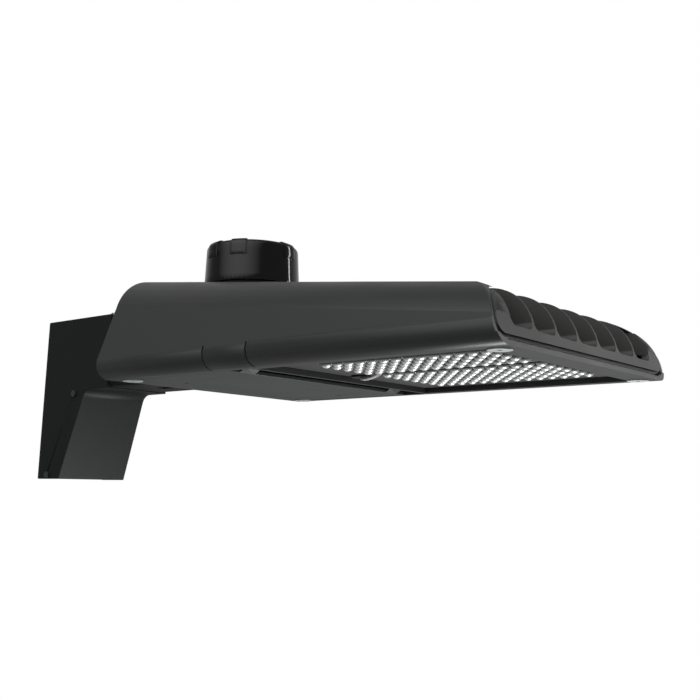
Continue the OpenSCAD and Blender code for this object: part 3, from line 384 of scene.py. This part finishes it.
@dataclass(frozen=True)
class MouldedPlastic(Finish):
    """Injection-moulded plastic or rubber with a fine dimpled skin."""

    grain: float = 0.8 * MM
    depth: float = 0.02 * MM
    specular: float = 0.5
    edge_tone: Colour = (0.08, 0.08, 0.08)
    wear: float = 0.25

    def make(self, effects: Effects) -> bpy.types.Material:
        """Returns the finished material."""
        material, graph, shader = self.start()
        shader.inputs["Specular IOR Level"].default_value = self.specular
        colour, rough = self.mottled(graph, effects, 25 * MM, 0.12)
        wear = graph.add("ShaderNodeGroup", node_tree=effects.edge_wear())
        wear.inputs["Width"].default_value = 0.5 * MM
        wear.inputs["Amount"].default_value = self.wear
        worn = graph.mix(wear.outputs["Mask"], colour, rgba(self.edge_tone))
        graph.tree.links.new(worn, shader.inputs["Base Color"])
        graph.tree.links.new(rough, shader.inputs["Roughness"])
        skin = graph.add("ShaderNodeGroup", node_tree=effects.pebble())
        skin.inputs["Size"].default_value = self.grain
        bump(graph, shader, skin.outputs["Height"], self.depth)
        return material


@dataclass(frozen=True)
class BareMetal(Finish):
    """Plated or brushed metal with fine lines along one direction."""

    line_size: float = 0.35 * MM
    stretch: Colour = (0.05, 1.0, 1.0)
    depth: float = 0.008 * MM
    metallic: float = 1.0

    def make(self, effects: Effects) -> bpy.types.Material:
        """Returns the finished material."""
        material, graph, shader = self.start()
        shader.inputs["Metallic"].default_value = self.metallic
        colour, rough = self.mottled(graph, effects, 12 * MM, 0.14)
        graph.tree.links.new(colour, shader.inputs["Base Color"])
        graph.tree.links.new(rough, shader.inputs["Roughness"])
        lines = graph.add("ShaderNodeGroup", node_tree=effects.brushed())
        lines.inputs["Size"].default_value = self.line_size
        lines.inputs["Stretch"].default_value = self.stretch
        bump(graph, shader, lines.outputs["Height"], self.depth)
        return material


@dataclass(frozen=True)
class ClearLens(Finish):
    """Clear moulded acrylic over white boards, silvery in the domes; its colour darkens from the dome
    tips to the dome feet and the flat plate as painted shade between the domes, and the light tips are
    partly a painted highlight.
    """

    haze: float = 0.05
    # Near-black painted shade, used between the domes and on the flat plate.
    painted_shade_tone: Colour = (0.04, 0.042, 0.045)
    dome_tip: float = 2.2 * MM
    dome_foot: float = 4.8 * MM
    silver: float = 0.25
    clearness: float = 0.15
    ior: float = 1.49
    gloss: float = 0.6
    gloss_roughness: float = 0.08
    haze_size: float = 9 * MM
    haze_noise: tuple[float, float] = (0.3, 0.7)
    grain: float = 1.5 * MM
    depth: float = 0.004 * MM

    def make(self, effects: Effects) -> bpy.types.Material:
        """Returns the finished material."""
        material, graph, shader = self.start()
        shader.inputs["Metallic"].default_value = self.silver
        shader.inputs["Transmission Weight"].default_value = self.clearness
        shader.inputs["IOR"].default_value = self.ior
        shader.inputs["Coat Weight"].default_value = self.gloss
        shader.inputs["Coat Roughness"].default_value = self.gloss_roughness
        # Painted shade and highlight: the colour runs from the light tone at the dome tips to the
        # near-black painted shade tone at the dome feet and on the flat plate.
        height = graph.add("ShaderNodeSeparateXYZ", {0: graph.place()}).outputs["Z"]
        painted_shade_share = graph.remap(height, self.dome_tip, self.dome_foot)
        colour = graph.mix(painted_shade_share, rgba(self.tone), rgba(self.painted_shade_tone))
        graph.tree.links.new(colour, shader.inputs["Base Color"])
        rough = graph.remap(graph.noise(self.haze_size, 3.0), *self.haze_noise,
                            self.roughness, self.roughness + self.haze)
        graph.tree.links.new(rough, shader.inputs["Roughness"])
        skin = graph.add("ShaderNodeGroup", node_tree=effects.pebble())
        skin.inputs["Size"].default_value = self.grain
        bump(graph, shader, skin.outputs["Height"], self.depth)
        return material


@dataclass(frozen=True)
class CircuitBoard(Finish):
    """Solder mask over copper tracks that stand a little proud."""

    track_tone: Colour = (0.62, 0.62, 0.58)
    track_pitch: float = 2.8 * MM

    def make(self, effects: Effects) -> bpy.types.Material:
        """Returns the finished material."""
        material, graph, shader = self.start()
        colour, rough = self.mottled(graph, effects, 20 * MM, 0.06)
        tracks = graph.add("ShaderNodeTexBrick", {
            "Vector": graph.place(), "Scale": 1.0, "Brick Width": 4 * self.track_pitch,
            "Row Height": self.track_pitch, "Mortar Size": 0.3 * MM})
        graph.tree.links.new(graph.mix(tracks.outputs["Fac"], colour, rgba(self.track_tone)),
                             shader.inputs["Base Color"])
        graph.tree.links.new(rough, shader.inputs["Roughness"])
        bump(graph, shader, tracks.outputs["Fac"], -0.03 * MM)
        return material


@dataclass(frozen=True)
class Phosphor(Finish):
    """The yellow silicone over an LED chip, grainy and a little clear."""

    def make(self, effects: Effects) -> bpy.types.Material:
        """Returns the finished material."""
        material, graph, shader = self.start()
        shader.inputs["Coat Weight"].default_value = 0.6
        shader.inputs["Subsurface Weight"].default_value = 0.1
        colour, rough = self.mottled(graph, effects, 1.5 * MM, 0.2)
        graph.tree.links.new(colour, shader.inputs["Base Color"])
        graph.tree.links.new(rough, shader.inputs["Roughness"])
        bump(graph, shader, graph.noise(0.3 * MM), 0.01 * MM)
        return material


# ---- Mesh helpers ----


WELD_REACH = 0.002 * MM
BEVEL_STEPS = 2
SHARP_ANGLE = math.radians(35)


class Edge(Enum):
    """How far the edges of a CAD node are rounded, in metres."""

    NONE = 0.0
    FINE = 0.25 * MM
    CAST = 0.7 * MM


def soften(piece: bpy.types.Object, edge: Edge) -> None:
    """Rounds the sharp edges of a piece.

    Args:
        piece: The CAD node's object; modifiers do it, so its own mesh isn't changed.
        edge: How far its edges are rounded.
    """
    if edge is Edge.NONE:
        return
    weld = piece.modifiers.new("weld", "WELD")
    weld.merge_threshold = WELD_REACH
    bevel = piece.modifiers.new("edge", "BEVEL")
    bevel.width = edge.value
    bevel.segments = BEVEL_STEPS
    bevel.limit_method = "ANGLE"
    bevel.angle_limit = SHARP_ANGLE
    bevel.use_clamp_overlap = True
    bevel.harden_normals = True


@dataclass
class SubAssembly:
    """A group of pieces that one class builds and dresses."""

    paints: dict[str, bpy.types.Material]

    def dress(self, node: str, finish: str, edge: Edge = Edge.NONE) -> None:
        """Gives a CAD node its material and its edges.

        Args:
            node: The node's name.
            finish: The finish's name.
            edge: How far its edges are rounded.
        """
        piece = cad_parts[node]
        for slot in piece.material_slots:
            slot.material = self.paints[finish]
        soften(piece, edge)
        log.info("%s: finish %s", node, finish)

    def build(self) -> None:
        """Builds and dresses the pieces of the group."""
        raise NotImplementedError


# ---- Sub-assemblies ----


@dataclass
class WallArm(SubAssembly):
    """The wedge-shaped wall box, its plate, the neck and what passes through them."""

    def build(self) -> None:
        """Dresses the arm."""
        self.dress("wall_box", "arm_coat", Edge.CAST)
        self.dress("neck", "arm_coat", Edge.CAST)
        self.dress("wall_plate", "zinc", Edge.FINE)
        self.dress("wall_box_screws", "black_screw", Edge.FINE)
        self.dress("neck_bolts", "screw_steel", Edge.FINE)
        self.dress("housing_bolts", "screw_steel", Edge.FINE)
        for node in ("wall_gasket", "neck_washers", "neck_gasket", "wire_grommet"):
            self.dress(node, "rubber", Edge.FINE)
        self.dress("supply_wires", "black_wire")


@dataclass
class Housing(SubAssembly):
    """The cast skin, the rear door and the way it hangs and closes."""

    def build(self) -> None:
        """Dresses the housing and its door."""
        self.dress("housing_shell", "housing_coat", Edge.CAST)
        self.dress("rear_door", "door_coat", Edge.CAST)
        self.dress("door_gasket", "rubber", Edge.FINE)
        self.dress("hinge_pins", "screw_steel", Edge.FINE)
        for node in ("door_screw_near", "door_screw_far", "front_screws"):
            self.dress(node, "pad_steel", Edge.FINE)


@dataclass
class HeatSink(SubAssembly):
    """The finned casting at the nose, which is also the bezel."""

    def build(self) -> None:
        """Dresses the heat sink."""
        self.dress("heat_sink", "sink_coat", Edge.CAST)


@dataclass
class Optics(SubAssembly):
    """Frame, lens plates, boards and chips, and the leads that reach them."""

    def build(self) -> None:
        """Dresses the optics."""
        self.dress("optic_frame", "frame_coat", Edge.FINE)
        self.dress("lens_near", "clear_lens")
        self.dress("lens_far", "clear_lens")
        self.dress("led_board_near", "white_board")
        self.dress("led_board_far", "white_board")
        self.dress("led_chips", "phosphor")
        self.dress("thermal_pads", "rubber")
        self.dress("board_screws", "screw_steel", Edge.FINE)
        self.dress("optic_gasket", "rubber", Edge.FINE)
        self.dress("lead_port", "black_plastic", Edge.FINE)
        self.dress("led_leads", "white_wire")


@dataclass
class DriverBay(SubAssembly):
    """What the door hides: tray, driver, surge protector, terminals and wires."""

    def build(self) -> None:
        """Dresses the driver bay."""
        self.dress("driver_tray", "zinc", Edge.FINE)
        for node in ("tray_screws", "driver_screws", "surge_screws"):
            self.dress(node, "screw_steel", Edge.FINE)
        self.dress("driver", "driver_case", Edge.CAST)
        self.dress("surge_protector", "surge_case", Edge.CAST)
        self.dress("terminal_block", "white_plastic", Edge.FINE)
        self.dress("terminal_screws", "brass", Edge.FINE)
        self.dress("ground_screw", "green_screw", Edge.FINE)
        self.dress("bay_wires", "red_wire")


@dataclass
class Photocell(SubAssembly):
    """The twist-lock photocell and the receptacle that it sits in."""

    def build(self) -> None:
        """Dresses the photocell and its receptacle."""
        self.dress("photocell_cap", "cap_gloss", Edge.CAST)
        self.dress("photocell_base", "black_plastic", Edge.FINE)
        self.dress("photocell_blades", "brass", Edge.FINE)
        self.dress("photocell_gasket", "rubber", Edge.FINE)
        self.dress("photocell_board", "green_board")
        self.dress("photocell_sensor", "sensor_case", Edge.FINE)
        self.dress("receptacle", "black_plastic", Edge.FINE)
        self.dress("receptacle_ring", "black_plastic", Edge.FINE)
        self.dress("receptacle_screws", "screw_steel", Edge.FINE)
        self.dress("receptacle_contacts", "brass")
        self.dress("receptacle_gasket", "rubber", Edge.FINE)


# ---- Studio ----


@dataclass
class Studio:
    """Camera, floor, sky and lamps."""

    focal_mm: float = 53.19
    sensor_mm: float = 36.0
    place: Vector = field(default_factory=lambda: Vector((0.94046, -0.70883, -0.0940)))
    pitch: float = 0.1353
    yaw: float = 0.6648
    roll: float = -0.0109
    sight: float = 50.0
    floor_z: float = -0.9
    floor_size: float = 30.0
    floor_tone: Colour = (0.3, 0.3, 0.3)
    floor_roughness: float = 0.9
    window_way: Vector = field(default_factory=lambda: Vector((0.1, -0.75, 0.66)))
    window_edge: float = 0.6
    window_light: float = 1.5
    paper_way: Vector = field(default_factory=lambda: Vector((-0.6, 0.78, -0.1)))
    paper_edge: float = 0.3
    paper_light: float = 0.5
    room_light: float = 0.16

    def camera(self) -> None:
        """Sets up the camera that looks up at the light from beside its nose."""
        forward = Vector((-math.sin(self.yaw) * math.cos(self.pitch),
                          math.cos(self.yaw) * math.cos(self.pitch), math.sin(self.pitch)))
        level = Vector((math.cos(self.yaw), math.sin(self.yaw), 0.0))
        down = forward.cross(level)
        right = math.cos(self.roll) * level + math.sin(self.roll) * down
        down = -math.sin(self.roll) * level + math.cos(self.roll) * down
        data = bpy.data.cameras.new("camera")
        data.sensor_width = self.sensor_mm
        data.lens = self.focal_mm
        data.clip_end = self.sight
        camera = bpy.data.objects.new("camera", data)
        turn = Matrix((right, -down, -forward)).transposed().to_4x4()
        camera.matrix_world = Matrix.Translation(self.place) @ turn
        bpy.context.scene.collection.objects.link(camera)
        bpy.context.scene.camera = camera

    def floor(self) -> None:
        """Lays a plain floor well below the light, white to the camera and dimmer to the light."""
        bpy.ops.mesh.primitive_plane_add(size=self.floor_size, location=(0.0, 0.0, self.floor_z))
        plane = bpy.context.active_object
        plane.name = "floor"
        material = bpy.data.materials.new("floor_paint")
        material.use_nodes = True
        shader = material.node_tree.nodes["Principled BSDF"]
        shader.inputs["Base Color"].default_value = rgba(self.floor_tone)
        shader.inputs["Roughness"].default_value = self.floor_roughness
        graph = Graph(material.node_tree)
        seen = graph.add("ShaderNodeEmission", {"Color": rgba((1.0, 1.0, 1.0)), "Strength": 1.0})
        self.split(graph, shader.outputs[0], seen.outputs[0],
                   material.node_tree.nodes["Material Output"])
        plane.data.materials.append(material)

    def sky(self) -> None:
        """Puts up a room, white to the camera, that lights the light from two directions."""
        world = bpy.data.worlds.new("room")
        world.use_nodes = True
        bpy.context.scene.world = world
        graph = Graph(world.node_tree)
        dim = world.node_tree.nodes["Background"]
        way = graph.add("ShaderNodeTexCoord").outputs["Generated"]
        window = self.glow(graph, way, self.window_way, self.window_edge, self.window_light)
        paper = self.glow(graph, way, self.paper_way, self.paper_edge, self.paper_light)
        shade = graph.math("ADD", graph.math("ADD", window, paper), self.room_light)
        grey = graph.add("ShaderNodeCombineColor", {0: shade, 1: shade, 2: shade})
        world.node_tree.links.new(grey.outputs[0], dim.inputs["Color"])
        seen = graph.add("ShaderNodeBackground", {"Color": rgba((1.0, 1.0, 1.0)), "Strength": 1.0})
        self.split(graph, dim.outputs[0], seen.outputs[0],
                   world.node_tree.nodes["World Output"])

    @staticmethod
    def glow(graph: Graph, way: Socket, towards: Sequence[float], edge: float,
             light: float) -> Socket:
        """Adds light that grows towards one direction.

        Args:
            graph: The world's graph.
            way: The direction looked at.
            towards: The brightest direction.
            edge: Cosine of the angle at which the light starts.
            light: Its full strength.

        Returns:
            How bright it is in the direction looked at.
        """
        brightest = tuple(Vector(towards).normalized())
        match = graph.add("ShaderNodeVectorMath", {0: way, 1: brightest}, operation="DOT_PRODUCT")
        return graph.remap(match.outputs["Value"], edge, 1.0, 0.0, light)

    @staticmethod
    def split(graph: Graph, other: Socket, seen: Socket, end: Node) -> None:
        """Shows the camera one surface and everything else another.

        Args:
            graph: The graph of a material or world.
            other: The shader for all other rays.
            seen: The shader for camera rays.
            end: The output node.
        """
        rays = graph.add("ShaderNodeLightPath")
        both = graph.add("ShaderNodeMixShader", {0: rays.outputs["Is Camera Ray"], 1: other, 2: seen})
        graph.tree.links.new(both.outputs[0], end.inputs["Surface"])

    def lamp(self, name: str, at: Sequence[float], to: Sequence[float], size: Sequence[float],
             power: float) -> None:
        """Adds a soft rectangular lamp.

        Args:
            name: The lamp's name.
            at: Where it stands.
            to: The point that it faces.
            size: Its width and height.
            power: Its power in watts.
        """
        data = bpy.data.lights.new(name, "AREA")
        data.shape = "RECTANGLE"
        data.size, data.size_y = size
        data.energy = power
        lamp = bpy.data.objects.new(name, data)
        lamp.location = at
        lamp.rotation_euler = (Vector(to) - Vector(at)).to_track_quat("-Z", "Y").to_euler()
        lamp.visible_camera = False
        bpy.context.scene.collection.objects.link(lamp)

    def build(self) -> None:
        """Builds the studio."""
        self.camera()
        self.floor()
        self.sky()
        self.lamp("strip", (1.38, 1.66, 0.5), (0.3, 0.0, 0.1), (0.12, 1.3), 5.0)
        self.lamp("under", (0.55, 0.4, -0.8), (0.35, 0.0, 0.0), (0.25, 0.4), 8.0)


# ---- The whole light ----


def finishes() -> list[Finish]:
    """Returns every finish on the light."""
    return [
        PowderCoat("housing_coat", (0.030, 0.034, 0.031), 0.42),
        PowderCoat("door_coat", (0.034, 0.038, 0.038), 0.42),
        PowderCoat("sink_coat", (0.056, 0.057, 0.054), 0.5),
        PowderCoat("arm_coat", (0.009, 0.010, 0.010), 0.5, specular=0.22),
        PowderCoat("frame_coat", (0.045, 0.045, 0.045), 0.5),
        MouldedPlastic("cap_gloss", (0.006, 0.0062, 0.0065), 0.09, depth=0.002 * MM,
                       specular=0.45),
        MouldedPlastic("black_plastic", (0.012, 0.012, 0.013), 0.5),
        MouldedPlastic("rubber", (0.012, 0.012, 0.012), 0.75),
        MouldedPlastic("white_plastic", (0.6, 0.6, 0.56), 0.4),
        MouldedPlastic("driver_case", (0.5, 0.52, 0.5), 0.4, grain=1.4 * MM),
        MouldedPlastic("surge_case", (0.02, 0.05, 0.11), 0.35),
        MouldedPlastic("sensor_case", (0.55, 0.45, 0.28), 0.4),
        MouldedPlastic("white_wire", (0.72, 0.72, 0.68), 0.4),
        MouldedPlastic("black_wire", (0.015, 0.017, 0.02), 0.4),
        MouldedPlastic("red_wire", (0.4, 0.02, 0.015), 0.4),
        BareMetal("screw_steel", (0.42, 0.43, 0.44), 0.32),
        BareMetal("black_screw", (0.05, 0.052, 0.054), 0.4, metallic=0.3),
        BareMetal("pad_steel", (0.62, 0.64, 0.65), 0.42, metallic=0.6),
        BareMetal("zinc", (0.45, 0.47, 0.49), 0.38, line_size=1.2 * MM),
        BareMetal("brass", (0.6, 0.43, 0.16), 0.3),
        BareMetal("green_screw", (0.04, 0.24, 0.07), 0.35, metallic=0.4),
        ClearLens("clear_lens", (0.9, 0.91, 0.92), 0.3),
        CircuitBoard("white_board", (0.78, 0.78, 0.75), 0.35),
        CircuitBoard("green_board", (0.02, 0.12, 0.04), 0.35, track_tone=(0.03, 0.2, 0.07)),
        Phosphor("phosphor", (0.85, 0.68, 0.2), 0.35),
    ]


def main() -> None:
    """Builds the studio, dresses the light and reports each piece."""
    logging.basicConfig(level=logging.INFO, format="%(name)s: %(message)s")
    bpy.context.scene.view_settings.view_transform = "Standard"
    Studio().build()
    effects = Effects()
    paints = {finish.name: finish.make(effects) for finish in finishes()}
    for group in (WallArm, Housing, HeatSink, Optics, DriverBay, Photocell):
        group(paints).build()


if __name__ == "__main__":
    main()
